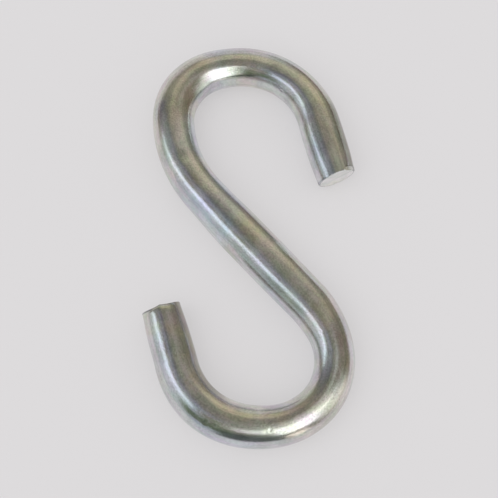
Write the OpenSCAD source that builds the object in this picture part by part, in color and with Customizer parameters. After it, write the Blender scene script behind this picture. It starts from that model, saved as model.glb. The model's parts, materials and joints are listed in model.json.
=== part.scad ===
// S hook of round wire: one slanting shank, two bows that open on opposite sides, two sheared ends.
// Millimetres. The hook lies flat on Z = 0; the line of pull through both bows is the Y axis.

/* [Wire] */
// Diameter of the wire
wire_d = 6; // [3:0.2:8]

/* [Shank] */
// Length of the slanting shank between the two bows
shank_len = 21.8; // [14:0.2:36]
// Curl the coiled wire keeps in each half of the shank, in degrees
shank_set = 1.5; // [1:0.5:4]

/* [Upper bow] */
// Inside radius of the wide arc that leads off the shank
upper_lead_r = 16; // [10:0.5:24]
// Turn of that lead arc, in degrees
upper_lead_turn = 36.5; // [20:0.5:48]
// Inside radius of the tight shoulder
upper_shoulder_r = 5.4; // [3:0.2:9]
// Turn of the shoulder, in degrees
upper_shoulder_turn = 76; // [55:1:90]
// Inside radius of the crown, where the load hangs
upper_crown_r = 9.6; // [7:0.2:14]
// Turn of the crown, in degrees
upper_crown_turn = 93; // [77:1:112]
// Straight leg between the crown and the upper end
upper_leg_len = 9.2; // [5:0.2:14]

/* [Lower bow] */
// Inside radius of the wide arc that leads off the shank
lower_lead_r = 17; // [10:0.5:24]
// Turn of that lead arc, in degrees
lower_lead_turn = 14.5; // [6:0.5:30]
// Inside radius of the tight shoulder
lower_shoulder_r = 6; // [3:0.2:9]
// Turn of the shoulder, in degrees; the crown then turns on until both legs are parallel
lower_shoulder_turn = 83; // [60:1:95]
// Inside radius of the crown, where the load hangs
lower_crown_r = 8.8; // [7:0.2:14]
// Straight leg between the crown and the lower end
lower_leg_len = 8.4; // [5:0.2:14]

/* [Sheared ends] */
// How far each sheared face leans off square, in degrees
shear_skew = 2; // [0.5:0.5:6]
// Radius of the roll-over where the blade went in
roll_r = 1.2; // [0.8:0.1:1.5]
// How far that radius overhangs the flank of the wire, so that it leaves an edge
roll_out = 0.35; // [0.2:0.05:0.5]
// Edge broken around the rim by tumbling
edge_break = 0.3; // [0.2:0.05:0.5]

/* [Hidden] */
$fn = 64;
wire_r = wire_d / 2;

// Centre-line radius of the curl in the shank, to a tenth of a millimetre.
shank_c = round(10 * shank_len / 2 / (shank_set * PI / 180)) / 10;

// The lower crown turns by what is left, which brings the lower leg parallel to the upper one.
upper_turns = upper_lead_turn + upper_shoulder_turn + upper_crown_turn;
lower_crown_turn = upper_turns - lower_lead_turn - lower_shoulder_turn;

// The bends of each half, from its leg back to the middle of the shank: centre-line radius and turn.
upper = [
    [upper_crown_r + wire_r, upper_crown_turn],
    [upper_shoulder_r + wire_r, upper_shoulder_turn],
    [upper_lead_r + wire_r, upper_lead_turn],
    [shank_c, shank_set]
];
lower = [
    [lower_crown_r + wire_r, lower_crown_turn],
    [lower_shoulder_r + wire_r, lower_shoulder_turn],
    [lower_lead_r + wire_r, lower_lead_turn],
    [shank_c, shank_set]
];
crown = 0;
shoulder = 1;
lead = 2;
curl = 3;

// A half is worked out with its leg leaving the origin along +Y and the bends behind it. These give the
// bearing at which bend n begins, the centre of bend n, and the middle of the shank, where both halves meet.
function bearing(half, n) = n == 0 ? 180 : bearing(half, n - 1) + half[n - 1][1];
function toward(angle) = [cos(angle), sin(angle)];
function centre(half, n) = n == 0
    ? [half[0][0], 0]
    : centre(half, n - 1) + (half[n - 1][0] - half[n][0]) * toward(bearing(half, n));
function middle(half) = centre(half, curl) + half[curl][0] * toward(bearing(half, curl + 1));

// The same points seen from the middle of the shank; the lower half is turned half way round.
function upper_at(p) = p - middle(upper);
function lower_at(p) = middle(lower) - p;

// Turn that stands the line through both crowns upright, which is how the hook hangs under load.
upper_eye = upper_at(centre(upper, crown));
lower_eye = lower_at(centre(lower, crown));
lean = atan2(upper_eye[0] - lower_eye[0], upper_eye[1] - lower_eye[1]);
function hung(p) =
    [p[0] * cos(lean) - p[1] * sin(lean),
     p[0] * sin(lean) + p[1] * cos(lean)];

// The outer corners of both ends are the widest points, and the crowns the highest and the lowest.
right_x = hung(upper_at([-wire_r, upper_leg_len - edge_break]))[0];
left_x = hung(lower_at([-wire_r, lower_leg_len - edge_break]))[0];
top_y = hung(upper_eye)[1] + upper[crown][0] + wire_r;
foot_y = hung(lower_eye)[1] - lower[crown][0] - wire_r;

// A sheared face is set back by its own lean, so that its high side just reaches the stated length.
shear_drop = wire_r * tan(shear_skew);
// Height of the roll-over's centre above the wire's centre line.
roll_z = wire_r + roll_out - roll_r;

// The block that leaves a sheared face; its low, rolled-over side is on top.
module shear_block(len) {
    reach = len + wire_d;
    translate([0, len - shear_drop, 0])
        rotate([shear_skew, 0, 0])
            rotate([90, 0, 90])
                linear_extrude(height = 2 * wire_d, center = true)
                    union() {
                        translate([-reach, -wire_d])
                            square([reach, wire_d + roll_z]);
                        translate([-reach, -wire_d])
                            square([reach - roll_r, wire_d + roll_z + roll_r]);
                        translate([-roll_r, roll_z])
                            circle(r = roll_r);
                    }
}

// A length of round wire along +Y, its far rim broken by tumbling.
module tumbled_rod(len) {
    rotate([-90, 0, 0])
        union() {
            cylinder(h = len - edge_break, r = wire_r);
            translate([0, 0, len - edge_break])
                cylinder(h = edge_break, r1 = wire_r, r2 = wire_r - edge_break);
        }
}

// The straight leg of a bow with its sheared end; the blade went in on top, or underneath.
module leg(len, from_top) {
    color("Silver")
        intersection() {
            tumbled_rod(len);
            mirror([0, 0, from_top ? 0 : 1])
                shear_block(len);
        }
}

// Puts what follows at a point in two steps, a coarse one and a fine one, so that bends meet face to face.
module put_at(p) {
    coarse = [round(p[0] * 1000) / 1000, round(p[1] * 1000) / 1000];
    translate(coarse)
        translate(p - coarse)
            children();
}

// One bend of a half.
module bend(half, n) {
    color("LightSteelBlue")
        put_at(centre(half, n))
            rotate_extrude(angle = half[n][1], start = bearing(half, n))
                translate([half[n][0], 0])
                    circle(r = wire_r);
}

// The bow at the top, with the half of the shank it grows from.
module upper_bow() {
    put_at(-middle(upper))
        union() {
            leg(upper_leg_len, false);
            bend(upper, crown);
            bend(upper, shoulder);
            bend(upper, lead);
            bend(upper, curl);
        }
}

// The bow at the bottom, with its half of the shank.
module lower_bow() {
    put_at(-middle(lower))
        union() {
            leg(lower_leg_len, true);
            bend(lower, crown);
            bend(lower, shoulder);
            bend(lower, lead);
            bend(lower, curl);
        }
}

// The whole hook in one piece, turned to the line of pull and laid on its base centre.
module hook() {
    translate([-(left_x + right_x) / 2, -(top_y + foot_y) / 2, wire_r])
        rotate([0, 0, lean])
            union() {
                upper_bow();
                rotate([0, 0, 180])
                    lower_bow();
            }
}

hook();
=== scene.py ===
"""Looks and studio for the s hook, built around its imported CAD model.

The hook is one piece of bright zinc plated wire.  Its centre line is a run of
tangent arcs; Geometry Nodes sweep the wire along it, with the swell and the
flats that bending leaves, and with the two sheared ends.
"""

import json
import logging
import math
from dataclasses import dataclass, field, fields, replace
from enum import Enum
from functools import reduce
from typing import Any, Iterable, Sequence

import bmesh
import bpy
import numpy as np
from mathutils import Matrix, Vector


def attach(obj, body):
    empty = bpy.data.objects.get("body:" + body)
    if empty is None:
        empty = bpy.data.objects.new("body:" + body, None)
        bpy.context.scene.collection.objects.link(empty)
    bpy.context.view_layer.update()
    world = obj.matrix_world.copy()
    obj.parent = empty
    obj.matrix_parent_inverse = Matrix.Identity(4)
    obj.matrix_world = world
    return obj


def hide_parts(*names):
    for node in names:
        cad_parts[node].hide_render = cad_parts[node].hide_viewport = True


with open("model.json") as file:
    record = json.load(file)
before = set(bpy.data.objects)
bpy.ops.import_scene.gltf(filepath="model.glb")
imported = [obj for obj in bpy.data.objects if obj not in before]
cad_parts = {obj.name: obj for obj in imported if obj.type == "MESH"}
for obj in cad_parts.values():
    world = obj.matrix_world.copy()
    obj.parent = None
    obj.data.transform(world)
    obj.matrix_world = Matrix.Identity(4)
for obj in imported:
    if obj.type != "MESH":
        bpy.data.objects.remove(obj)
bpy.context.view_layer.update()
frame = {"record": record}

MM = 0.001
WIRE = 6.0  # thickness, in millimetres
WHITE = (1.0, 1.0, 1.0, 1.0)
LOG = logging.getLogger("s_hook")
Colour = tuple[float, float, float]
Socket = bpy.types.NodeSocket
# What a remap takes: the old low and high, then the new low and high.
Limits = tuple[float, float, float, float]


# ---------------------------------------------------------------- node trees


class TreeKind(Enum):
    """What a node group works on."""

    SHADER = "ShaderNodeTree"
    GEOMETRY = "GeometryNodeTree"


class Stored(Enum):
    """What a stored attribute holds."""

    NUMBER = "FLOAT"
    VECTOR = "FLOAT_VECTOR"


class Bench:
    """Lays nodes out in one tree and links them."""

    row_length: int = 12
    pitch: tuple[int, int] = (200, -240)

    def __init__(self, tree: bpy.types.NodeTree) -> None:
        """Starts work on a tree."""
        self.tree = tree
        self._count = 0

    def add(self, kind: str, inputs: dict[Any, Any] | None = None, **values: Any) -> bpy.types.Node:
        """Adds one node.

        Args:
            kind: the node's type name.
            inputs: values or sockets by input name or number.
            **values: the node's settings.

        Returns:
            The new node.
        """
        node = self.tree.nodes.new(kind)
        row, column = divmod(self._count, self.row_length)
        node.location = (self.pitch[0] * column, self.pitch[1] * row)
        self._count += 1
        for name, value in values.items():
            setattr(node, name, value)
        for key, value in (inputs or {}).items():
            self.feed(node.inputs[key], value)
        return node

    def feed(self, socket: Socket, value: Any) -> None:
        """Links a socket to a value's socket, or sets it to a plain value.

        Args:
            socket: the input to fill.
            value: an output socket, or a number, vector or datablock; None leaves the input alone.
        """
        if isinstance(value, Socket):
            self.tree.links.new(value, socket)
        elif value is not None:
            socket.default_value = value

    def put(self, kind: str, inputs: dict[Any, Any], out: Any = 0, **values: Any) -> Socket:
        """Adds a node and gives the output of that name or number."""
        return self.add(kind, inputs, **values).outputs[out]

    def group(self, tree: bpy.types.NodeTree, inputs: dict[str, Any], label: str = "") -> Any:
        """Places a node group and gives its outputs."""
        return self.add("ShaderNodeGroup", inputs, node_tree=tree, label=label).outputs

    def end(self, shader: Socket, kind: str = "ShaderNodeOutputMaterial") -> None:
        """Links a shader to a new output node."""
        self.add(kind, {0: shader})

    def math(self, operation: str, *terms: Any) -> Socket:
        """Adds a Math node and gives its result."""
        return self.put("ShaderNodeMath", dict(enumerate(terms)), operation=operation)

    def total(self, *terms: Any) -> Socket:
        """Adds its terms up, first to last."""
        return reduce(lambda so_far, term: self.math("ADD", so_far, term), terms)

    def product(self, *terms: Any) -> Socket:
        """Multiplies its terms, first to last."""
        return reduce(lambda so_far, term: self.math("MULTIPLY", so_far, term), terms)

    def less(self, first: Any, second: Any) -> Socket:
        """Takes the second number from the first."""
        return self.math("SUBTRACT", first, second)

    def vector(self, operation: str, *terms: Any, out: Any = 0) -> Socket:
        """Adds a Vector Math node and gives one of its outputs."""
        return self.put("ShaderNodeVectorMath", dict(enumerate(terms)), out, operation=operation)

    def scaled(self, vector: Any, factor: Any) -> Socket:
        """Gives a vector times a number."""
        return self.put("ShaderNodeVectorMath", {0: vector, "Scale": factor}, operation="SCALE")

    def point(self, *parts: Any) -> Socket:
        """Joins three numbers into a vector."""
        return self.put("ShaderNodeCombineXYZ", dict(enumerate(parts)))

    def parts(self, vector: Any) -> Any:
        """Gives a vector's three numbers."""
        return self.add("ShaderNodeSeparateXYZ", {0: vector}).outputs

    def remap(self, value: Any, low: Any, high: Any, new_low: Any = 0.0, new_high: Any = 1.0,
              smooth: bool = True) -> Socket:
        """Takes low to new_low and high to new_high, easing in and out if smooth, and keeps inside them."""
        return self.put("ShaderNodeMapRange", {0: value, 1: low, 2: high, 3: new_low, 4: new_high},
                        interpolation_type="SMOOTHSTEP" if smooth else "LINEAR")

    def window(self, value: Any, low: Any, high: Any, fade: Any) -> Socket:
        """Gives 1 from low to high, easing to 0 over a fade on either side."""
        return self.product(self.remap(value, self.less(low, fade), low),
                            self.remap(value, self.total(high, fade), high))

    def noise(self, place: Any, scale: Any, detail: float, roughness: float = 0.5, distortion: float = 0.0) -> Socket:
        """Adds a Noise Texture node and gives its value."""
        return self.put("ShaderNodeTexNoise", {"Vector": place, "Scale": scale, "Detail": detail,
                                               "Roughness": roughness, "Distortion": distortion})

    def blend(self, factor: Any, first: Any, second: Any, mode: str = "MIX") -> Socket:
        """Mixes two colours; the factor is how much of the second."""
        return self.put("ShaderNodeMix", {0: factor, 6: first, 7: second}, 2, data_type="RGBA", blend_type=mode)

    def tinted(self, colour: Any, tint: Any) -> Socket:
        """Multiplies a colour by another."""
        return self.blend(1.0, colour, tint, "MULTIPLY")

    def grey(self, value: Any) -> Socket:
        """Makes a grey of a number."""
        return self.put("ShaderNodeCombineColor", dict.fromkeys(range(3), value))


def rgba(colour: Sequence[float]) -> tuple[float, ...]:
    """Gives a colour with full opacity."""
    return (*colour, 1.0)


def blank(owner: bpy.types.Material | bpy.types.World) -> Bench:
    """Empties the node tree of a material or world.

    Args:
        owner: the material or world.

    Returns:
        A bench on its tree.
    """
    owner.use_nodes = True
    owner.node_tree.nodes.clear()
    return Bench(owner.node_tree)


def new_group(name: str, kind: TreeKind, inputs: Iterable[tuple[str, str, Any]],
              outputs: Iterable[tuple[str, str]]) -> tuple[Bench, Any, Any]:
    """Makes an empty node group with its sockets.

    Args:
        name: the group's name.
        kind: what it works on.
        inputs: name, short socket type and default of each input.
        outputs: name and short socket type of each output.

    Returns:
        A bench on the group, what it is given, and what it puts out.
    """
    group = bpy.data.node_groups.new(name, kind.value)
    for label, short, default in inputs:
        socket = group.interface.new_socket(label, in_out="INPUT", socket_type=f"NodeSocket{short}")
        if default is not None:
            socket.default_value = default
    for label, short in outputs:
        group.interface.new_socket(label, in_out="OUTPUT", socket_type=f"NodeSocket{short}")
    bench = Bench(group)
    return bench, bench.add("NodeGroupInput").outputs, bench.add("NodeGroupOutput").inputs


def linked(name: str, data: bpy.types.ID) -> bpy.types.Object:
    """Makes an object and puts it in the scene.

    Args:
        name: the object's name.
        data: its mesh, lamp or camera.

    Returns:
        The object.
    """
    made = bpy.data.objects.new(name, data)
    bpy.context.scene.collection.objects.link(made)
    return made


# -------------------------------------------------------------------- finishes


def straightened(bench: Bench) -> Socket:
    """Gives a surface point's place on the wire before it was bent, in metres: across, up and along."""
    return bench.put("ShaderNodeAttribute", {}, "Vector", attribute_name="straight")


def draw_lines_group() -> bpy.types.NodeTree:
    """Makes the lines that the drawing die leaves along the wire.

    Returns:
        The group: a height and a mask, both from 0 to 1.
    """
    bench, given, out = new_group(
        "draw_lines", TreeKind.SHADER,
        [("Place", "Vector", None), ("Lines", "Float", 2600.0), ("Stretch", "Float", 0.03), ("Break up", "Float", 0.4)],
        [("Height", "Float"), ("Mask", "Float")])
    broad_scale, patch_scale = 0.22, 420.0
    fine_share, broad_share = 0.6, 0.4
    patch_limits, deep_lines = (0.35, 0.7), (0.52, 0.72)
    across, up, along = bench.parts(given["Place"])
    squeezed = bench.point(across, up, bench.product(along, given["Stretch"]))
    fine = bench.noise(squeezed, given["Lines"], 4.0, roughness=0.65)
    broad = bench.noise(squeezed, bench.product(given["Lines"], broad_scale), 2.0)
    patch = bench.noise(given["Place"], patch_scale, 3.0)
    strength = bench.remap(patch, *patch_limits, bench.less(1.0, given["Break up"]), 1.0)
    both = bench.total(bench.product(fine, fine_share), bench.product(broad, broad_share))
    bench.feed(out["Height"], bench.total(bench.product(bench.less(both, 0.5), strength), 0.5))
    bench.feed(out["Mask"], bench.remap(fine, *deep_lines))
    return bench.tree


def plate_grain_group() -> bpy.types.NodeTree:
    """Makes the fine mottle of an electroplated coat.

    Returns:
        The group: a height, a mottle and sparse bright specks.
    """
    bench, given, out = new_group(
        "plate_grain", TreeKind.SHADER,
        [("Place", "Vector", None), ("Grain", "Float", 5200.0), ("Cloud", "Float", 260.0)],
        [("Height", "Float"), ("Mottle", "Float"), ("Specks", "Float")])
    speck_scale, grain_share, cloud_share = 0.35, 0.7, 0.3
    speck_edge, specks_kept = (0.22, 0.1), (0.55, 0.68)
    grain = bench.noise(given["Place"], given["Grain"], 3.0, roughness=0.6)
    cloud = bench.noise(given["Place"], given["Cloud"], 5.0, roughness=0.6, distortion=0.4)
    cell = bench.put("ShaderNodeTexVoronoi",
                     {"Vector": given["Place"], "Scale": bench.product(given["Grain"], speck_scale)}, "Distance")
    bench.feed(out["Height"], bench.total(bench.product(grain, grain_share), bench.product(cloud, cloud_share)))
    bench.feed(out["Mottle"], cloud)
    bench.feed(out["Specks"], bench.product(bench.remap(cell, *speck_edge), bench.remap(grain, *specks_kept)))
    return bench.tree


def film_tint_group() -> bpy.types.NodeTree:
    """Makes the faint colours of the clear film over the zinc.

    Returns:
        The group: a colour that drifts from straw to blue and mauve.
    """
    bench, given, out = new_group(
        "film_tint", TreeKind.SHADER,
        [("Place", "Vector", None), ("Metal", "Color", (0.6, 0.6, 0.6, 1.0)), ("Tint", "Float", 0.5),
         ("Drift", "Float", 90.0), ("Streak", "Float", 700.0)],
        [("Color", "Color")])
    blue, clear, straw, mauve = (0.93, 0.98, 1.08), (1.0, 1.0, 1.0), (1.05, 1.01, 0.90), (1.03, 0.96, 1.02)
    green_streak, pink_streak = (0.93, 1.04, 0.94), (1.07, 0.97, 1.05)
    streak_draw, streak_limits = (1.0, 1.0, 0.4), (0.3, 0.7)
    ramp = bench.add("ShaderNodeValToRGB")
    ramp.color_ramp.interpolation = "EASE"
    marks = ramp.color_ramp.elements
    stops = ((0.30, blue), (0.45, clear), (0.56, straw), (0.70, mauve))
    while len(marks) < len(stops):
        marks.new(0.5)
    for mark, (place, colour) in zip(marks, stops):
        mark.position, mark.color = place, rgba(colour)
    bench.feed(ramp.inputs[0], bench.noise(given["Place"], given["Drift"], 4.0, roughness=0.55, distortion=0.6))
    drifting = bench.blend(given["Tint"], WHITE, ramp.outputs[0])
    drawn = bench.vector("MULTIPLY", given["Place"], streak_draw)
    streak = bench.remap(bench.noise(drawn, given["Streak"], 4.0, roughness=0.7), *streak_limits)
    streaked = bench.blend(given["Tint"], WHITE, bench.blend(streak, rgba(green_streak), rgba(pink_streak)))
    bench.feed(out["Color"], bench.tinted(given["Metal"], bench.tinted(drifting, streaked)))
    return bench.tree


def painted_shade_band_group() -> bpy.types.NodeTree:
    """Makes a streaky band of painted shade along one flank or rim.

    Returns:
        The group: a mask from 0 to 1.
    """
    bench, given, out = new_group(
        "painted_shade_band", TreeKind.SHADER,
        [("Place", "Vector", None), ("Near run", "Float", 0.0), ("Far run", "Float", 0.012),
         ("Low clock", "Float", 20.0), ("High clock", "Float", 45.0), ("Fade", "Float", 0.004)],
        [("Mask", "Float")])
    clock_fade, streak_draw, streak_scale = 7.0, (1.0, 1.0, 0.12), 900.0
    streak_limits, streak_tone = (0.3, 0.7), (0.35, 0.6, 0.7, 1.0)
    across, up, run = bench.parts(given["Place"])
    ragged = bench.noise(bench.vector("MULTIPLY", given["Place"], streak_draw), streak_scale, 3.0)
    clock = bench.total(bench.math("DEGREES", bench.math("ARCTAN2", up, across)),
                        bench.remap(ragged, *streak_limits, -clock_fade, clock_fade, smooth=False))
    band = bench.window(clock, given["Low clock"], given["High clock"], clock_fade)
    span = bench.window(run, given["Near run"], given["Far run"], given["Fade"])
    bench.feed(out["Mask"], bench.product(band, span, bench.remap(ragged, *streak_tone)))
    return bench.tree


@dataclass(frozen=True)
class Grouped:
    """The node groups that the finishes share."""

    lines: bpy.types.NodeTree
    grain: bpy.types.NodeTree
    film: bpy.types.NodeTree
    painted_shade: bpy.types.NodeTree

    @staticmethod
    def build() -> "Grouped":
        """Makes each group once."""
        return Grouped(draw_lines_group(), plate_grain_group(), film_tint_group(), painted_shade_band_group())


def end_in_metal(bench: Bench, colour: Socket, rough: Socket, bumps: Iterable[tuple[Socket, float, float]]) -> None:
    """Ends a material in a metal shader.

    Args:
        bench: the material's bench.
        colour: the metal's colour.
        rough: its roughness.
        bumps: height, distance in metres and strength of each bump, each laid over the one before.
    """
    normal: Any = None
    for height, distance, strength in bumps:
        normal = bench.put("ShaderNodeBump", {"Height": height, "Distance": distance, "Strength": strength,
                                              "Normal": normal})
    bench.end(bench.put("ShaderNodeBsdfPrincipled", {"Base Color": colour, "Metallic": 1.0, "Roughness": rough,
                                                     "Normal": normal}))


@dataclass(frozen=True)
class PaintedShadeBand:
    """A band of painted shade: its reach along the wire, its clock, how far it fades out and the darker tint it paints.

    A reach that counts from the lower rim has from_end set. Lengths are in millimetres and clocks in degrees.
    """

    near: float
    far: float
    low: float
    high: float
    fade: float = 4.0
    tint: Colour = (0.53, 0.51, 0.46)
    from_end: bool = False


@dataclass(frozen=True)
class ZincPlate:
    """Bright zinc plate over drawn wire: semi-gloss, with draw lines, a fine grain and bands of painted shade."""

    name: str = "zinc_plate"
    metal: Colour = (0.69, 0.695, 0.71)
    tint: float = 0.85
    rough: Limits = (0.3, 0.75, 0.15, 0.24)
    line_rough: float = 0.05
    mottle_tone: Limits = (0.3, 0.7, 0.92, 1.06)
    grain_tone: Limits = (0.32, 0.62, 0.80, 1.08)
    line_tone: Limits = (0.38, 0.56, 0.86, 1.03)
    speck_tone: float = 0.25
    line_bump: float = 0.012 * MM
    grain_bump: float = 0.018 * MM
    # Painted shade: first the two legs' flanks, darkened where they reflect shaded table, then the darker edges of the
    # sheared rims, painted as shadow.
    shade_bands: tuple[PaintedShadeBand, ...] = (
        PaintedShadeBand(-9.0, 9.0, 22.0, 48.0), PaintedShadeBand(-15.4, 30.0, 8.0, 38.0, from_end=True),
        # Painted shadow along the sheared rims, under the burr and on the rolled-over edge.
        PaintedShadeBand(-0.2, 9.0, 122.0, 190.0, 0.08, (0.42, 0.42, 0.45), True),
        PaintedShadeBand(-0.07, 9.0, 40.0, 115.0, 0.06, (0.5, 0.5, 0.48), True),
        PaintedShadeBand(-9.0, 0.3, 172.0, 190.0, 0.15, (0.42, 0.43, 0.46)),
        PaintedShadeBand(-9.0, 0.12, 132.0, 165.0, 0.12, (0.66, 0.68, 0.72)),
        PaintedShadeBand(0.42, 0.52, 50.0, 62.0, 0.08, (0.4, 0.38, 0.34)),
        PaintedShadeBand(-9.0, 0.3, 10.0, 30.0, 0.2, (0.5, 0.5, 0.5)),
    )

    def make(self, shared: Grouped, length: float) -> bpy.types.Material:
        """Builds the material.

        Args:
            shared: the shared node groups.
            length: the wire's length along its centre line, in metres.

        Returns:
            The material.
        """
        material = bpy.data.materials.new(self.name)
        bench = blank(material)
        place = straightened(bench)
        lines = bench.group(shared.lines, {"Place": place})
        grain = bench.group(shared.grain, {"Place": place})
        film = bench.group(shared.film, {"Place": place, "Metal": rgba(self.metal), "Tint": self.tint})
        tone = bench.product(bench.remap(grain["Mottle"], *self.mottle_tone),
                             bench.remap(grain["Height"], *self.grain_tone),
                             bench.remap(lines["Height"], *self.line_tone))
        tone = bench.total(tone, bench.product(grain["Specks"], self.speck_tone))
        colour = bench.tinted(film["Color"], bench.grey(tone))
        # Painted shade: each band darkens the colour by its tint along a flank or rim.
        for shade_band in self.shade_bands:
            start = length if shade_band.from_end else 0.0
            shade_mask = bench.group(shared.painted_shade, {
                "Place": place, "Near run": start + shade_band.near * MM, "Far run": start + shade_band.far * MM,
                "Low clock": shade_band.low, "High clock": shade_band.high, "Fade": shade_band.fade * MM})
            colour = bench.blend(shade_mask["Mask"], colour, bench.tinted(colour, rgba(shade_band.tint)))
        rough = bench.total(bench.remap(grain["Mottle"], *self.rough), bench.product(lines["Mask"], self.line_rough))
        end_in_metal(bench, colour, rough,
                     [(lines["Height"], self.line_bump, 1.0), (grain["Height"], self.grain_bump, 1.0)])
        return material


@dataclass(frozen=True)
class ShearedFace:
    """The plated face that the shear leaves: paler, rougher and torn across."""

    name: str = "sheared_face"
    metal: Colour = (0.91, 0.91, 0.91)
    tint: float = 0.4
    rough: Limits = (0.3, 0.7, 0.44, 0.6)
    tear_tone: Limits = (0.35, 0.6, 0.86, 1.03)
    mottle_tone: Limits = (0.3, 0.7, 0.93, 1.04)
    tear_turn: float = math.radians(90)
    tear_lines: float = 1500.0
    tear_stretch: float = 0.25
    tear_break: float = 0.8
    grain: float = 3800.0
    cloud: float = 700.0
    tear_bump: tuple[float, float] = (0.02 * MM, 0.7)
    grain_bump: tuple[float, float] = (0.008 * MM, 0.8)

    def make(self, shared: Grouped) -> bpy.types.Material:
        """Builds the material.

        Args:
            shared: the shared node groups.

        Returns:
            The material.
        """
        material = bpy.data.materials.new(self.name)
        bench = blank(material)
        place = straightened(bench)
        turned = bench.put("ShaderNodeMapping", {"Vector": place, "Rotation": (0.0, self.tear_turn, 0.0)})
        tears = bench.group(shared.lines, {"Place": turned, "Lines": self.tear_lines, "Stretch": self.tear_stretch,
                                           "Break up": self.tear_break})
        grain = bench.group(shared.grain, {"Place": place, "Grain": self.grain, "Cloud": self.cloud})
        film = bench.group(shared.film, {"Place": place, "Metal": rgba(self.metal), "Tint": self.tint})
        tone = bench.product(bench.remap(tears["Height"], *self.tear_tone),
                             bench.remap(grain["Mottle"], *self.mottle_tone))
        end_in_metal(bench, bench.tinted(film["Color"], bench.grey(tone)), bench.remap(grain["Mottle"], *self.rough),
                     [(tears["Height"], *self.tear_bump), (grain["Height"], *self.grain_bump)])
        return material


# ------------------------------------------------------------------ centre line


@dataclass(frozen=True)
class Stretch:
    """One part of the centre line: a straight, or an arc that turns left or right."""

    name: str
    length: float
    turn: float = 0.0

    @staticmethod
    def arc(name: str, radius: float, degrees: float) -> "Stretch":
        """Gives an arc; a positive turn goes left, and radius is in millimetres."""
        turn = math.radians(degrees)
        return Stretch(name, radius * MM * abs(turn), turn)


@dataclass
class CentreLine:
    """The hook's centre line, from the upper tip over both bows to the lower tip.

    The step between its points is in millimetres.
    """

    wire: float = WIRE
    step: float = 0.17
    upper: tuple[Stretch, ...] = (
        Stretch("upper_leg", 9.2 * MM),
        Stretch.arc("upper_crown", 12.6, 93.0),
        Stretch.arc("upper_shoulder", 8.4, 76.0),
        Stretch.arc("upper_lead", 19.0, 36.5),
        Stretch.arc("upper_shank", 416.3, 1.5),
    )
    lower: tuple[Stretch, ...] = (
        Stretch.arc("lower_shank", 416.3, -1.5),
        Stretch.arc("lower_lead", 20.0, -14.5),
        Stretch.arc("lower_shoulder", 9.0, -83.0),
        Stretch.arc("lower_crown", 11.8, -108.0),
        Stretch("lower_leg", 8.4 * MM),
    )
    points: np.ndarray = field(init=False)
    run: np.ndarray = field(init=False)
    heading: np.ndarray = field(init=False)

    def lay(self, seats: tuple[Vector, Vector]) -> None:
        """Walks the stretches and places the line by the two bows' seats.

        Args:
            seats: where a chain rests in the upper and in the lower bow.
        """
        spot, bearing, run = np.zeros(2), 0.0, 0.0
        track, crowns, radii = [(run, bearing, *spot)], [], []
        for part in self.upper + self.lower:
            count = max(2, round(part.length / (self.step * MM)))
            step, bend = part.length / count, part.turn / part.length
            if part.name.endswith("crown"):
                crowns.append(spot + np.array([-math.sin(bearing), math.cos(bearing)]) / bend)
                radii.append(1.0 / abs(bend))
            for _ in range(count):
                middle = bearing + 0.5 * bend * step
                chord = 2.0 * math.sin(0.5 * bend * step) / bend if bend else step
                spot = spot + chord * np.array([math.cos(middle), math.sin(middle)])
                bearing += bend * step
                run += step
                track.append((run, bearing, *spot))
        self.run, bearings, *spots = np.array(track).T
        axis = crowns[0] - crowns[1]
        lean = math.pi / 2 - math.atan2(axis[1], axis[0])
        turned = np.array([[math.cos(lean), -math.sin(lean)], [math.sin(lean), math.cos(lean)]])
        seat = 0.5 * (np.array(seats[0][:2]) + np.array(seats[1][:2]))
        drop = 0.5 * (radii[0] - radii[1])
        shift = np.array([seat[0], seat[1] - drop]) - turned @ (0.5 * (crowns[0] + crowns[1]))
        LOG.info("crowns %.3f mm apart, seats %.3f mm apart", np.linalg.norm(axis) / MM,
                 (seats[0] - seats[1]).length / MM)
        flat = np.column_stack(spots) @ turned.T + shift
        self.points = np.column_stack([flat, np.full(len(flat), 0.5 * self.wire * MM)])
        self.heading = bearings + lean


# ------------------------------------------------------------------- the wire


@dataclass(frozen=True)
class Flat:
    """A long flat that the bending pin pressed: its place in millimetres and degrees round the wire."""

    run: float
    clock: float
    half_length: float
    half_angle: float


@dataclass(frozen=True)
class Nick:
    """A small knock in the plate, in millimetres, with its place in degrees round the wire."""

    run: float
    clock: float
    half_length: float
    half_width: float
    depth: float


class Blade(Enum):
    """The side that the shear's moving blade came from."""

    BELOW = -1.0
    ABOVE = 1.0


@dataclass(frozen=True)
class Ring:
    """What one cross-section of the wire says to the sweep."""

    run: float
    girth: float = 1.0
    shift: float = 0.0
    reach: float = 0.0
    roll: float = 0.0
    lip: float = 0.0
    face: float = 0.0


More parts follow.
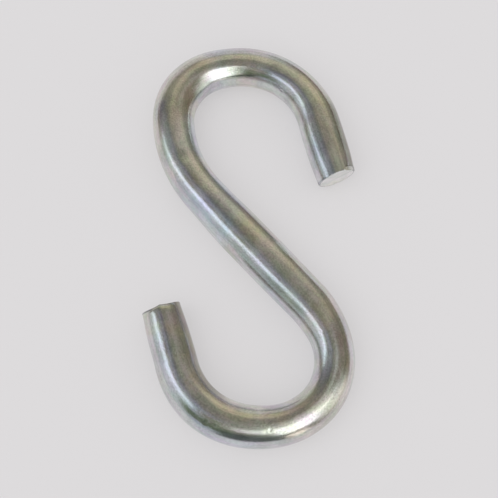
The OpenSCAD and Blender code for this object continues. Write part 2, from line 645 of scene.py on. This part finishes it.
@dataclass(frozen=True)
class ShearedEnd:
    """A wire end cut off by a shear: skewed face, one side rolled over, a burr on the other.

    Lengths are in millimetres, and the turn of the face in degrees.
    """

    blade: Blade
    wire: float = WIRE
    turn: float = 0.0
    nip: float = 0.0
    edge: float = 0.09
    roll_length: float = 1.2
    grip: float = 2.6
    dome: float = 0.05
    edge_rings: int = 5
    face_rings: int = 13

    def weight(self, inside: float) -> tuple[float, float]:
        """Gives how far a ring follows the face.

        Args:
            inside: the ring's distance from the end, in millimetres.

        Returns:
            Its share of the face's skew, and of the roll-over.
        """
        reach = max(0.0, 1.0 - inside / self.grip)
        near = max(0.0, 1.0 - inside / self.roll_length)
        return reach * reach * (3.0 - 2.0 * reach), 1.0 - math.sqrt(1.0 - near * near)

    def rings(self, spare: float) -> list[Ring]:
        """Gives the rings past the last straight one, from the rim to the middle of the face.

        Args:
            spare: how far apart the rings are set out along the wire, in metres.

        Returns:
            The rings; run is the distance past the end.
        """
        rings = []
        for i in range(1, self.edge_rings + 1):
            angle = 0.5 * math.pi * i / self.edge_rings
            fall = self.edge * (1.0 - math.sin(angle)) * MM
            girth = 1.0 - self.edge * (1.0 - math.cos(angle)) / (0.5 * self.wire)
            lip = math.sin(math.pi * i / (self.edge_rings + 1)) ** 2
            rings.append(Ring(i * spare, girth, -fall - i * spare, reach=1.0, roll=1.0, lip=lip))
        rim = rings[-1].girth
        for i in range(1, self.face_rings + 1):
            part = 1.0 - i / self.face_rings
            out = (self.edge_rings + i) * spare
            rise = self.dome * (1.0 - part * part) * MM
            rings.append(Ring(out, rim * part, rise - out, reach=1.0, roll=part, face=1.0))
        return rings


@dataclass
class HookWire:
    """The bent and plated wire, as one swept skin.

    The flats, nicks and gauge are in millimetres, other lengths in metres, and the burr's clock and widths in
    degrees.
    """

    line: CentreLine
    upper_end: ShearedEnd = ShearedEnd(Blade.BELOW, turn=6.0)
    lower_end: ShearedEnd = ShearedEnd(Blade.ABOVE, turn=2.5, nip=0.17)
    sides: int = 112
    spare: float = 0.05 * MM
    waviness: float = 0.05 * MM
    wave_scale: float = 150.0
    line_depth: float = 0.006 * MM
    line_scale: float = 1400.0
    dent_depth: float = 0.05 * MM
    dent_scale: float = 330.0
    skew: float = math.radians(2.0)
    roll_out: float = 0.35 * MM
    burr: float = 0.12 * MM
    burr_scale: float = 900.0
    burr_clock: float = 50.0
    burr_width: tuple[float, float] = (26.0, 12.0)
    burr_rise: float = 2.4
    bared_run: tuple[float, float] = (0.42 * MM, 0.3 * MM)
    crumb: float = 0.07 * MM
    crumb_scale: float = 800.0
    seed: int = 7
    seed_step: float = 0.013
    weld: float = 1e-7
    flats: tuple[Flat, ...] = (Flat(27.7, 129.0, 6.2, 15.0),)
    nicks: tuple[Nick, ...] = (
        Nick(0.5, 45.0, 0.17, 0.8, 0.12), Nick(98.3, 108.0, 0.2, 0.45, 0.05), Nick(98.9, 113.0, 0.2, 0.25, 0.03),
        Nick(106.3, 123.0, 0.3, 0.5, 0.06), Nick(105.2, 119.0, 0.3, 0.3, 0.05), Nick(16.8, 149.0, 0.5, 0.3, 0.05),
        Nick(17.6, 143.0, 0.25, 0.25, 0.04), Nick(80.2, 63.0, 0.3, 0.25, 0.04), Nick(83.5, 78.0, 0.35, 0.2, 0.04),
        Nick(84.6, 70.0, 0.25, 0.25, 0.04),
    )
    # Place along the wire, then how far its left and right flanks stand out, in millimetres.
    gauge: tuple[tuple[float, float, float], ...] = (
        (0, -0.05, -0.30), (3, 0.15, 0.00), (8, 0.15, 0.10), (15, -0.30, 0.00), (20, -0.35, 0.00), (27, -0.10, -0.20),
        (35, 0.30, 0.10), (40, 0.30, -0.10), (47, 0.10, 0.00), (55, 0.10, 0.15), (60, 0.30, 0.40),
        (70, 0.30, 0.35), (76, 0.35, 0.10), (82, -0.10, -0.20), (90, 0.10, -0.50), (95, 0.15, -0.45),
        (100, 0.00, -0.10), (108, 0.20, -0.10), (116, -0.10, 0.10), (120, -0.05, 0.00), (123.5, -0.30, -0.25),
    )
    gauge_step: float = 0.25
    gauge_blur: int = 19

    def swell(self, run: np.ndarray) -> list[np.ndarray]:
        """Gives how far the flanks stand out along the wire.

        Args:
            run: distances along the wire, in metres.

        Returns:
            The left and the right flank's swell, in metres.
        """
        places, *flanks = np.array(self.gauge).T
        fine = np.arange(0.0, self.line.run[-1] / MM + self.gauge_step, self.gauge_step)
        kernel = np.hanning(self.gauge_blur)
        swells = []
        for flank in flanks:
            padded = np.pad(np.interp(fine, places, flank), self.gauge_blur // 2, mode="edge")
            smooth = np.convolve(padded, kernel / kernel.sum(), mode="valid")
            swells.append(np.interp(run / MM, fine, smooth) * MM)
        return swells

    def path(self) -> bpy.types.Object:
        """Lays the route as a chain of points that carry each ring's sizes.

        Returns:
            The route object.
        """
        line, total = self.line, float(self.line.run[-1])

        def past(tip: int, end: ShearedEnd, side: float, run: float) -> list[tuple[Vector, Ring, float, ShearedEnd]]:
            """Gives the rings past one tip, each with its spot, its side and its end."""
            ahead = side * Vector((math.cos(line.heading[tip]), math.sin(line.heading[tip]), 0.0))
            return [(Vector(line.points[tip]) + ahead * ring.run, replace(ring, run=run), side, end)
                    for ring in end.rings(self.spare)]

        stations = past(0, self.upper_end, -1.0, 0.0)[::-1]
        trim = round(self.upper_end.edge / line.step) + 1
        for i in range(trim, len(line.points) - trim):
            run = float(line.run[i])
            upper = run < 0.5 * total
            end, inside, side = (self.upper_end, run, -1.0) if upper else (self.lower_end, total - run, 1.0)
            reach, roll = end.weight(inside / MM)
            stations.append((Vector(line.points[i]), Ring(run, reach=reach, roll=roll), side, end))
        stations += past(-1, self.lower_end, 1.0, total)
        spots, rings, sides, ends = zip(*stations)

        told = {size.name: np.array([getattr(ring, size.name) for ring in rings]) for size in fields(Ring)}
        outward, reach = np.array(sides), told.pop("reach")
        left, right = self.swell(told["run"])
        told |= {
            "left": left, "right": right, "shift": outward * told["shift"], "skew": outward * reach,
            "outward": outward, "blade": [end.blade.value for end in ends],
            "turn": reach * [math.tan(math.radians(end.turn)) for end in ends],
            "nip": outward * reach * [end.nip * MM for end in ends],
        }
        mesh = bpy.data.meshes.new("hook_wire")
        mesh.from_pydata(spots, [(i, i + 1) for i in range(len(spots) - 1)], [])
        for name, values in told.items():
            layer = mesh.attributes.new(name, Stored.NUMBER.value, "POINT")
            layer.data.foreach_set("value", np.asarray(values, dtype=np.float32))
        return linked("hook_wire", mesh)

    def pressed(self, bench: Bench, radius: Any, clock: Any, run: Any) -> Socket:
        """Adds up how deep the flats and nicks cut into the skin.

        Args:
            bench: the sweep's bench.
            radius: the wire's radius.
            clock: the angle round the wire, in radians.
            run: the distance along the wire, in metres.

        Returns:
            The depth, in metres.
        """
        level_share, floor_share = 0.35, 0.2
        depth: Any = 0.0
        for flat in self.flats:
            away = bench.math("ABSOLUTE", bench.less(clock, math.radians(flat.clock)))
            slope = bench.math("COSINE", bench.math("MINIMUM", away, 1.0))
            chord = bench.math("DIVIDE", bench.product(radius, math.cos(math.radians(flat.half_angle))), slope)
            cut = bench.math("MAXIMUM", bench.less(radius, chord), 0.0)
            along = bench.math("ABSOLUTE", bench.less(run, flat.run * MM))
            reach = flat.half_length * MM
            depth = bench.total(depth, bench.product(cut, bench.remap(along, reach, level_share * reach)))
        for nick in self.nicks:
            along = bench.math("DIVIDE", bench.less(run, nick.run * MM), nick.half_length * MM)
            round_it = bench.product(bench.less(clock, math.radians(nick.clock)),
                                     0.5 * self.line.wire / nick.half_width)
            away = bench.math("SQRT", bench.total(bench.product(along, along), bench.product(round_it, round_it)))
            depth = bench.total(depth, bench.remap(away, 1.0, floor_share, 0.0, nick.depth * MM))
        return depth

    def tree(self, inputs: dict[str, Any]) -> bpy.types.NodeTree:
        """Builds the sweep: rings round the route, shaped by what each ring says.

        Args:
            inputs: the value of each input by name.

        Returns:
            The Geometry Nodes group.
        """
        shorts = {int: "Int", float: "Float"}
        bench, given, out = new_group(
            "swept_wire", TreeKind.GEOMETRY,
            [("Route", "Geometry", None),
             *((name, shorts.get(type(value), "Material"), value) for name, value in inputs.items())],
            [("Geometry", "Geometry")])
        total, product, less, remap = bench.total, bench.product, bench.less, bench.remap

        def named(name: str, kind: Stored = Stored.NUMBER) -> Socket:
            """Reads a stored attribute."""
            return bench.put("GeometryNodeInputNamedAttribute", {"Name": name}, "Attribute", data_type=kind.value)

        def stored(geometry: Any, name: str, value: Any, kind: Stored = Stored.VECTOR) -> Socket:
            """Stores an attribute on points."""
            return bench.put("GeometryNodeStoreNamedAttribute", {"Geometry": geometry, "Name": name, "Value": value},
                             "Geometry", data_type=kind.value, domain="POINT")

        # A hoop of points goes along the route, and both carry what the skin needs to know.
        radius = given["Wire radius"]
        curve = bench.put("GeometryNodeMeshToCurve", {0: given["Route"]})
        curve = stored(curve, "spine", bench.put("GeometryNodeInputPosition", {}))
        curve = stored(curve, "ahead", bench.put("GeometryNodeInputTangent", {}))
        hoop = bench.put("GeometryNodeCurvePrimitiveCircle", {"Resolution": given["Sides"], "Radius": radius})
        turn = bench.math("DIVIDE", bench.put("GeometryNodeInputIndex", {}), given["Sides"])
        hoop = stored(hoop, "clock", product(turn, math.tau), Stored.NUMBER)
        skin = bench.put("GeometryNodeCurveToMesh", {"Curve": curve, "Profile Curve": hoop})

        clock, girth, run, face = (named(name) for name in ("clock", "girth", "run", "face"))
        across, upward = bench.math("COSINE", clock), bench.math("SINE", clock)
        ahead = named("ahead", Stored.VECTOR)
        side = bench.vector("CROSS_PRODUCT", ahead, (0.0, 0.0, 1.0))
        place = bench.point(product(across, girth, radius), product(upward, girth, radius), run)

        # Relief: slow waves, draw lines, sparse dents, and the flats and nicks.
        line_draw, dent_draw = (1.0, 1.0, 0.02), (1.0, 1.0, 0.7)
        dent_edge, dents_kept, rim_fade = (0.34, 0.05), (0.8, 0.95), (0.9, 1.0)
        seed = product(given["Seed"], self.seed_step)
        moved = bench.vector("ADD", place, bench.point(seed, seed, seed))
        wave = product(less(bench.noise(moved, given["Wave scale"], 1.0), 0.5), given["Waviness"])
        drawn = bench.noise(bench.vector("MULTIPLY", moved, line_draw), given["Line scale"], 2.0)
        drawn = product(less(drawn, 0.5), given["Line depth"])
        cell = bench.add("ShaderNodeTexVoronoi", {"Vector": bench.vector("MULTIPLY", moved, dent_draw),
                                                  "Scale": given["Dent scale"]}).outputs
        dent = product(remap(cell["Distance"], *dent_edge), remap(bench.parts(cell["Color"])[0], *dents_kept),
                       given["Dent depth"])
        relief = less(less(total(wave, drawn), dent), self.pressed(bench, radius, clock, run))
        relief = product(relief, remap(girth, *rim_fade))

        # The blade rolls over the side that it strikes, and tears a burr out of the other.
        roll_power, burr_power, burr_spread, burr_rag = 1.4, 0.7, 0.35, (0.35, 0.65, 0.15, 1.0)
        struck_side = product(named("blade"), upward)
        struck = bench.math("POWER", bench.math("MAXIMUM", struck_side, 0.0), roll_power)
        rolled = product(struck, named("roll"), given["Roll-over"])
        torn = bench.math("MAXIMUM", product(struck_side, -1.0), 0.0)
        flap = remap(bench.math("ABSOLUTE", less(clock, math.radians(self.burr_clock))),
                     *(math.radians(width) for width in self.burr_width))
        ragged = remap(bench.noise(moved, given["Burr scale"], 3.0), *burr_rag)
        ragged = total(ragged, product(flap, self.burr_rise))
        lip = product(bench.math("POWER", torn, burr_power), named("lip"), product(ragged, given["Burr"]))

        # How far each point stands off the route: to the side, up and ahead.
        crumb_draw, crumb_fade = (1.0, 0.45, 1.0), (1.0, 0.8)
        kink, nip_level, nip_side, nip_fade = 4.0, 0.3, (0.0, 0.35), (0.6, 1.0)
        swell = total(product(bench.math("MAXIMUM", across, 0.0), named("right")),
                      product(bench.math("MINIMUM", across, 0.0), named("left")))
        radial = total(less(radius, rolled), total(relief, product(lip, burr_spread)))
        sideways = product(girth, total(product(across, radial), swell))
        upright = product(girth, product(upward, radial))
        slant = product(upright, bench.math("TANGENT", given["Skew"]), product(named("skew"), named("blade")))
        crumb = bench.noise(bench.vector("MULTIPLY", moved, crumb_draw), given["Crumb scale"], 4.0)
        crumb = product(less(crumb, 0.5), face, product(remap(girth, *crumb_fade), given["Crumb"]))
        forward = total(less(named("shift"), slant), product(named("outward"), total(lip, crumb)))
        forward = total(forward, product(named("turn"), sideways))
        wide = bench.math("ABSOLUTE", across)
        nipped = product(total(product(wide, less(1.0, wide), kink), nip_level), remap(struck_side, *nip_side),
                         remap(girth, *nip_fade), named("nip"))
        spot = bench.vector("ADD", named("spine", Stored.VECTOR), bench.scaled(side, sideways))
        spot = bench.vector("ADD", spot, bench.point(0.0, 0.0, upright))
        spot = bench.vector("ADD", spot, bench.scaled(ahead, less(forward, nipped)))

        # The burr's flap shows cut metal, as the face does.
        bared_tear, least_bared = (0.1, 0.4), 0.6
        bared = bench.math("MAXIMUM", face, product(flap, remap(run, *self.bared_run), remap(torn, *bared_tear)))
        cut = bench.put("FunctionNodeCompare", {0: bared, 1: least_bared}, data_type="FLOAT", operation="GREATER_THAN")
        skin = stored(skin, "straight", place)
        for step, more in (
            ("SetPosition", {"Position": spot}), ("MergeByDistance", {"Distance": self.weld}), ("FlipFaces", {}),
            ("SetShadeSmooth", {}), ("RealizeInstances", {}), ("SetMaterial", {"Material": given["Plate"]}),
            ("SetMaterial", {"Selection": cut, "Material": given["Cut face"]}),
        ):
            skin = bench.put(f"GeometryNode{step}", {0: skin, **more})
        bench.feed(out["Geometry"], skin)
        return bench.tree

    def build(self, plate: bpy.types.Material, cut_face: bpy.types.Material) -> bpy.types.Object:
        """Sweeps the wire and turns the result into a plain mesh.

        Args:
            plate: the finish of the wire.
            cut_face: the finish of the sheared faces.

        Returns:
            The finished piece.
        """
        route = self.path()
        inputs = {
            "Wire radius": 0.5 * self.line.wire * MM, "Sides": self.sides, "Seed": self.seed,
            "Waviness": self.waviness, "Wave scale": self.wave_scale, "Line depth": self.line_depth,
            "Line scale": self.line_scale, "Dent depth": self.dent_depth, "Dent scale": self.dent_scale,
            "Skew": self.skew, "Roll-over": self.roll_out, "Burr": self.burr, "Burr scale": self.burr_scale,
            "Crumb": self.crumb, "Crumb scale": self.crumb_scale, "Plate": plate, "Cut face": cut_face,
        }
        sweep = route.modifiers.new("sweep", "NODES")
        sweep.node_group = self.tree(inputs)
        for item in sweep.node_group.interface.items_tree:
            if item.in_out == "INPUT" and item.name in inputs:
                sweep[item.identifier] = inputs[item.name]
        bpy.context.view_layer.update()
        graph = bpy.context.evaluated_depsgraph_get()
        skin = bpy.data.meshes.new_from_object(route.evaluated_get(graph), preserve_all_data_layers=True,
                                               depsgraph=graph)
        route.modifiers.clear()
        bare, route.data = route.data, skin
        bpy.data.meshes.remove(bare)
        skin.name = route.name
        # Of what the points carry, the finishes read only their place on the straight wire.
        for name in [layer.name for layer in skin.attributes if layer.domain == "POINT"]:
            if name not in ("position", "straight"):
                skin.attributes.remove(skin.attributes[name])
        return route


# ----------------------------------------------------------------- the studio


def bearing_vector(azimuth: float, elevation: float) -> Vector:
    """Gives a direction.

    Args:
        azimuth: degrees from +X towards +Y.
        elevation: degrees above the floor.

    Returns:
        The unit vector.
    """
    a, e = math.radians(azimuth), math.radians(elevation)
    return Vector((math.cos(e) * math.cos(a), math.cos(e) * math.sin(a), math.sin(e)))


def aimed(place: Vector, back: Vector) -> Matrix:
    """Gives the placement of a lamp or camera whose back faces a direction."""
    return Matrix.Translation(place) @ back.to_track_quat("Z", "Y").to_matrix().to_4x4()


@dataclass(frozen=True)
class Panel:
    """A soft-edged card or window of the room, given by where it is seen from the hook's middle.

    Angles are in degrees.
    """

    name: str
    azimuth: float
    elevation: float
    half_width: float
    half_height: float
    softness: float
    roll: float
    light: Colour


@dataclass
class Room:
    """The small studio tent round the hook: a plain tone with soft cards and windows over it.

    Only what is glossy sees it, so it neither lights the table nor hides it.
    """

    name: str = "studio_tent"
    radius: float = 0.2
    segments: tuple[int, int] = (96, 48)
    level: float = 0.76
    tone: Colour = (0.35, 0.335, 0.265)
    panels: tuple[Panel, ...] = (
        Panel("warm_wall", 69, 40, 18, 6, 17, 27, (0.78, 0.72, 0.53)),
        Panel("rear_wall", 105, 5, 29, 9, 17, -15, (0.79, 0.76, 0.74)),
        Panel("rear_shade", 148, 46, 9, 32, 6, -4, (0.25, 0.25, 0.255)),
        Panel("left_sheet", 202, 20, 34, 17, 14, -7, (0.70, 0.75, 0.77)),
        Panel("left_window", 182, 39, 24, 4.5, 4, 38, (1.55, 1.68, 1.88)),
        Panel("rear_edge", 154, 42, 8, 13, 4, 0, (0.38, 0.39, 0.40)),
        Panel("left_ceiling", 192, 67, 14, 3, 6, 0, (0.46, 0.475, 0.53)),
        Panel("front_left", 236, 26, 22, 10, 5, 5, (0.22, 0.255, 0.17)),
        Panel("front_shade", 262, 6, 18, 23, 4, 2, (0.11, 0.135, 0.115)),
        Panel("front_glow", 336, 40, 23, 28, 18, -2, (1.15, 1.15, 1.06)),
        Panel("front_pane", 308, 46, 8, 11, 4, 50, (1.9, 1.9, 1.85)),
        Panel("front_lintel", 268, 48, 10, 6, 4, 0, (1.3, 1.3, 1.22)),
        Panel("front_window", 291, 39, 9, 12, 6, 4, (2.65, 2.65, 2.55)),
        Panel("front_sill", 290, 7, 5, 7, 3, 20, (1.9, 1.75, 1.6)),
        Panel("right_shade", 2, 25, 10, 38, 18, -1, (0.305, 0.265, 0.20)),
        Panel("right_skirting", 28, 2.0, 42, 2.0, 1.5, 0, (0.22, 0.125, 0.10)),
    )

    def panel_group(self) -> bpy.types.NodeTree:
        """Makes the group that lays one panel over what is behind it.

        Returns:
            The group.
        """
        bench, given, out = new_group(
            "room_panel", TreeKind.SHADER,
            [("Direction", "Vector", None), ("Behind", "Color", None), ("Middle", "Vector", None),
             ("Side", "Vector", None), ("Up", "Vector", None), ("Half width", "Float", 10.0),
             ("Half height", "Float", 10.0), ("Softness", "Float", 5.0), ("Light", "Color", None)],
            [("Color", "Color")])
        least = 0.001
        facing = bench.vector("DOT_PRODUCT", given["Direction"], given["Middle"], out="Value")
        masks = []
        for axis, half in (("Side", "Half width"), ("Up", "Half height")):
            offset = bench.math("ABSOLUTE", bench.vector("DOT_PRODUCT", given["Direction"], given[axis], out="Value"))
            angle = bench.math("DEGREES", bench.math("ARCTAN2", offset, bench.math("MAXIMUM", facing, least)))
            masks.append(bench.remap(angle, bench.total(given[half], given["Softness"]), given[half]))
        inside = bench.product(*masks, bench.math("GREATER_THAN", facing, 0.0))
        bench.feed(out["Color"], bench.blend(inside, given["Behind"], given["Light"]))
        return bench.tree

    def finish(self) -> bpy.types.Material:
        """Makes the tent's glow: the tone, with the panels over it.

        Returns:
            The material.
        """
        material = bpy.data.materials.new(self.name)
        bench, group = blank(material), self.panel_group()
        direction = bench.vector("NORMALIZE", bench.put("ShaderNodeTexCoord", {}, "Object"))
        colour: Any = rgba(self.tone)
        for panel in self.panels:
            middle = bearing_vector(panel.azimuth, panel.elevation)
            level = Vector((0.0, 0.0, 1.0)).cross(middle).normalized()
            side = Matrix.Rotation(math.radians(panel.roll), 3, middle) @ level
            colour = bench.group(group, {
                "Direction": direction, "Behind": colour, "Middle": middle, "Side": side,
                "Up": middle.cross(side), "Half width": panel.half_width, "Half height": panel.half_height,
                "Softness": panel.softness, "Light": rgba(panel.light)}, label=panel.name)["Color"]
        bench.end(bench.put("ShaderNodeEmission", {0: colour, 1: self.level}))
        return material

    def build(self) -> bpy.types.Object:
        """Builds the tent.

        Returns:
            The tent.
        """
        ball = bmesh.new()
        around, upward = self.segments
        bmesh.ops.create_uvsphere(ball, u_segments=around, v_segments=upward, radius=self.radius)
        bmesh.ops.reverse_faces(ball, faces=ball.faces)
        mesh = bpy.data.meshes.new(self.name)
        ball.to_mesh(mesh)
        ball.free()
        mesh.materials.append(self.finish())
        tent = linked(self.name, mesh)
        tent.location = (0.0, 0.0, 0.5 * WIRE * MM)
        tent.visible_camera = tent.visible_diffuse = tent.visible_shadow = False
        return tent


@dataclass
class Daylight:
    """The plain pale surround that lights the table evenly."""

    name: str = "pale_surround"
    colour: Colour = (0.72, 0.71, 0.715)

    def build(self) -> bpy.types.World:
        """Builds the world.

        Returns:
            The world.
        """
        world = bpy.data.worlds.new(self.name)
        bench = blank(world)
        bench.end(bench.put("ShaderNodeBackground", {0: rgba(self.colour)}), "ShaderNodeOutputWorld")
        bpy.context.scene.world = world
        return world


@dataclass
class Table:
    """The plain pale table top, whose tone is evened out where it is seen, with part of its shadows kept."""

    name: str = "table_top"
    size: float = 60.0
    height: float = -0.02 * MM
    colour: Colour = (0.808, 0.799, 0.806)
    seen: Colour = (0.723, 0.708, 0.716)
    evenness: float = 0.6

    def finish(self) -> bpy.types.Material:
        """Makes the table top's finish.

        Returns:
            The material.
        """
        material = bpy.data.materials.new(self.name)
        bench = blank(material)
        matt = bench.put("ShaderNodeBsdfDiffuse", {0: rgba(self.colour)})
        even = bench.put("ShaderNodeEmission", {0: rgba(self.seen)})
        ray = bench.add("ShaderNodeLightPath").outputs
        looking = bench.math("MAXIMUM", ray["Is Camera Ray"], ray["Is Glossy Ray"])
        bench.end(bench.put("ShaderNodeMixShader", {0: bench.product(looking, self.evenness), 1: matt, 2: even}))
        return material

    def build(self) -> bpy.types.Object:
        """Builds the table top.

        Returns:
            The table top.
        """
        half = 0.5 * self.size
        corners = [(x * half, y * half, self.height) for x, y in ((-1, -1), (1, -1), (1, 1), (-1, 1))]
        mesh = bpy.data.meshes.new(self.name)
        mesh.from_pydata(corners, [], [(0, 1, 2, 3)])
        mesh.materials.append(self.finish())
        top = linked(self.name, mesh)
        return top


@dataclass
class SideLight:
    """A large, far lamp that lights the table from the left; its angles are in degrees."""

    name: str = "side_light"
    azimuth: float = 205.0
    elevation: float = 60.0
    spread: float = 60.0
    strength: float = 0.65

    def build(self) -> bpy.types.Object:
        """Builds the lamp.

        Returns:
            The lamp.
        """
        data = bpy.data.lights.new(self.name, "SUN")
        data.energy = self.strength
        data.angle = math.radians(self.spread)
        lamp = linked(self.name, data)
        back = bearing_vector(self.azimuth, self.elevation)
        lamp.matrix_world = aimed(back, back)
        lamp.visible_glossy = False
        return lamp


@dataclass
class Viewpoint:
    """The camera: nearly overhead, close in. Its azimuth turns from the front towards +X, in degrees."""

    name: str = "camera"
    azimuth: float = -5.55
    elevation: float = 73.0
    distance: float = 0.144
    lens: float = 72.5
    sensor: float = 36.0
    nearest: float = 0.01
    target: tuple[float, float, float] = (-0.00037, -0.0018, 0.003)

    def build(self) -> bpy.types.Object:
        """Sets the camera up.

        Returns:
            The camera.
        """
        data = bpy.data.cameras.new(self.name)
        data.lens = self.lens
        data.sensor_width = self.sensor
        data.clip_start = self.nearest
        camera = linked(self.name, data)
        back = bearing_vector(self.azimuth - 90.0, self.elevation)
        camera.matrix_world = aimed(Vector(self.target) + back * self.distance, back)
        bpy.context.scene.camera = camera
        return camera


# ------------------------------------------------------------------- assembly


def seat_of(mounts: Sequence[dict[str, Any]], name: str) -> Vector:
    """Gives where a chain or ring rests in a bow."""
    return Vector(next(mount for mount in mounts if mount["name"] == name)["pos_m"])


def main() -> None:
    """Builds the hook, then the studio round it."""
    logging.basicConfig(level=logging.INFO, format="%(name)s: %(message)s")
    bpy.context.scene.view_settings.view_transform = "Standard"
    LOG.info("camera %s", Viewpoint().build().name)

    shared = Grouped.build()
    mounts = frame["record"]["mounts"]
    line = CentreLine()
    line.lay((seat_of(mounts, "upper_bow"), seat_of(mounts, "lower_bow")))
    plate = ZincPlate().make(shared, float(line.run[-1]))
    wire = HookWire(line).build(plate, ShearedFace().make(shared))
    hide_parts("hook")
    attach(wire, "root")
    LOG.info("piece %s: %.1f mm of wire, %d faces", wire.name, line.run[-1] / MM, len(wire.data.polygons))

    for part in (Table(), SideLight(), Room(), Daylight()):
        LOG.info("studio %s", part.build().name)


if __name__ == "__main__":
    main()
